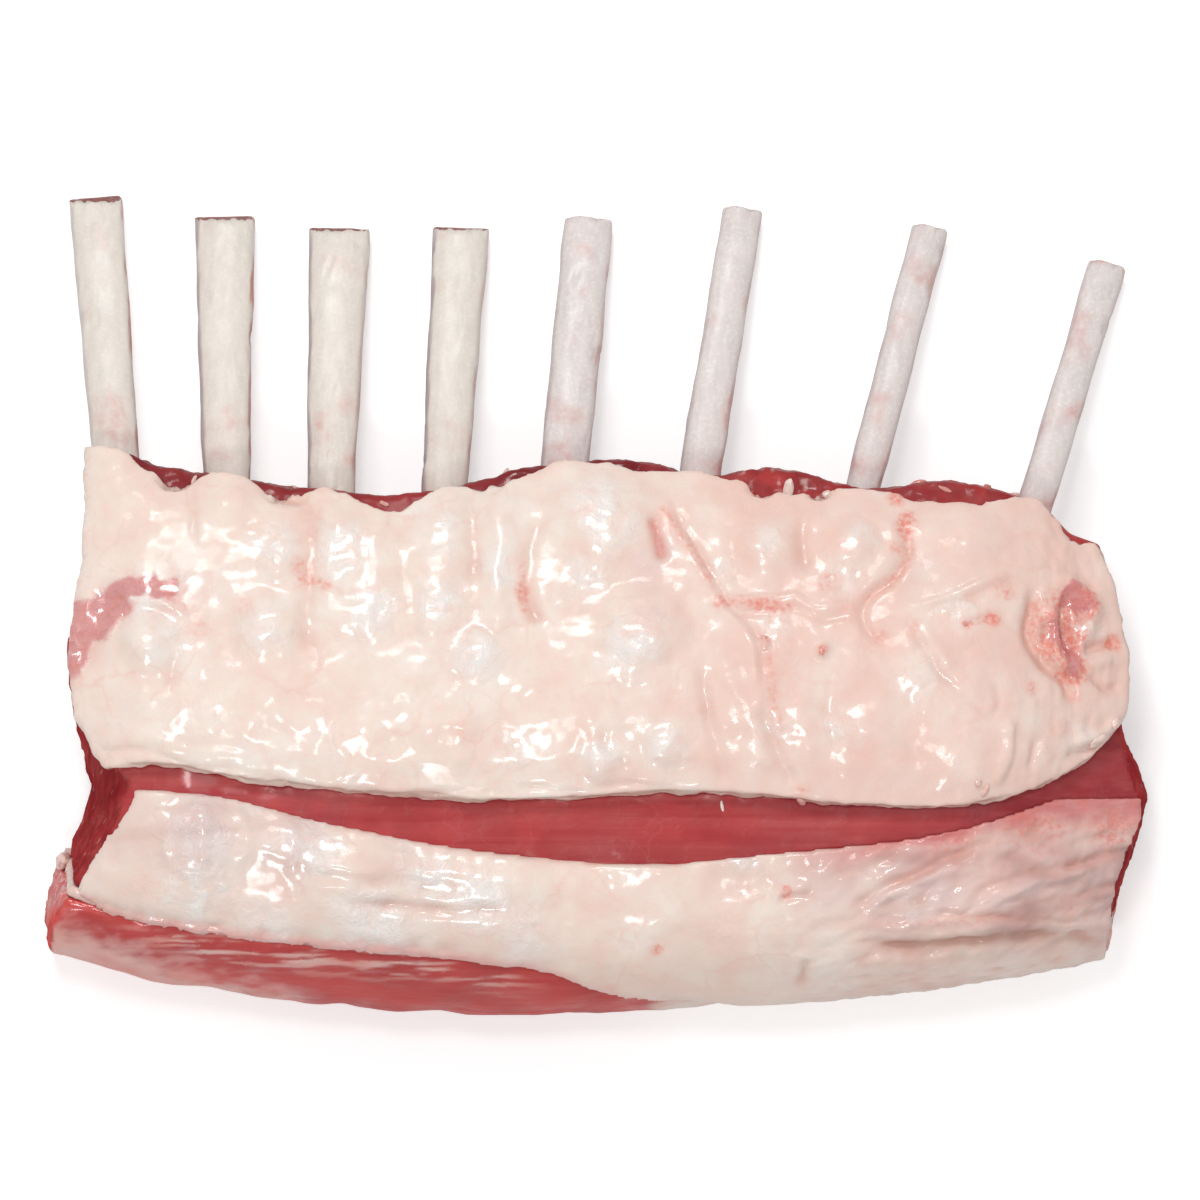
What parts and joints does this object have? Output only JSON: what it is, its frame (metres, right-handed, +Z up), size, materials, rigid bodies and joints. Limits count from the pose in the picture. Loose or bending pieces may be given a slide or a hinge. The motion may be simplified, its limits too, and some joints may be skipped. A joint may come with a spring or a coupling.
{
  "type": "raw rack of lamb",
  "caption": "Raw frenched rack of lamb lying on its rib side, with bared rib bones, loin, rib meat and a cap of fat.",
  "frame": {"origin": "centre of the bounding box, at the height of the table it lies on", "axes": "+X along the loin, +Y out along the bones towards their tips, +Z up through the cap of fat"},
  "size_m": [0.239, 0.178, 0.0518],
  "materials": {
    "fat": "moist creamy fat with a soft uneven gloss",
    "silverskin": "moist fat with grey-pink silverskin",
    "lean": "moist dark red lean meat",
    "bone": "scraped cream-white bone with a soft sheen"
  },
  "bodies": {
    "root": {"fat_cap": "fat", "loin_cover": "silverskin", "seam_fat": "fat", "loin_muscle": "lean", "chine_muscle": "lean", "rib_meat": "lean", "rib_1": "bone", "rib_2": "bone", "rib_3": "bone", "rib_4": "bone", "rib_5": "bone", "rib_6": "bone", "rib_7": "bone", "rib_8": "bone"}
  },
  "joints": []
}
